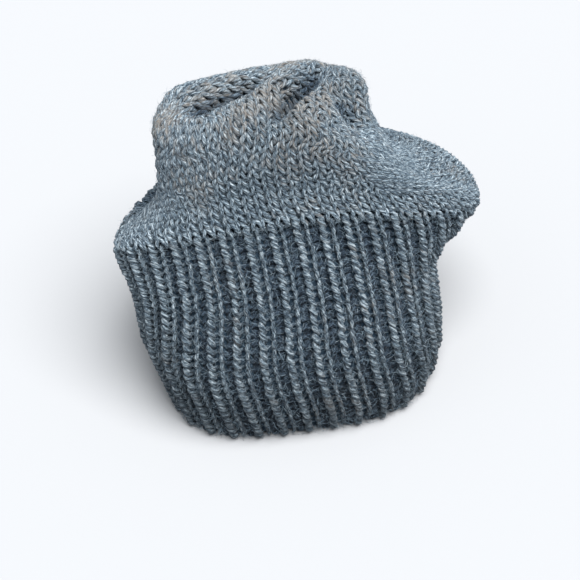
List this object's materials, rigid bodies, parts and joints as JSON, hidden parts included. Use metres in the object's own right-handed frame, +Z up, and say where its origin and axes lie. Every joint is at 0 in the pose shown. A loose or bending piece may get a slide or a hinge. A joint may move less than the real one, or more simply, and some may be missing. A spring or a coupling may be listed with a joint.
{
  "type": "slouchy beanie",
  "caption": "Slouchy knitted wool beanie standing on its rim, with a deep ribbed brim and a plain knitted crown that folds over.",
  "frame": {"origin": "on the table, under the middle of the hat's bounding box", "axes": "+Z up from the rim, +Y from the front of the hat to its back, +X to the right of someone who faces its front"},
  "size_m": [0.1822, 0.183, 0.1561],
  "materials": {
    "ribbed_wool": "heathered grey wool, 1x1 rib",
    "plain_wool": "heathered grey wool, plain knit"
  },
  "bodies": {
    "root": {"ribbed_brim": "ribbed_wool", "crown": "plain_wool"}
  },
  "joints": []
}
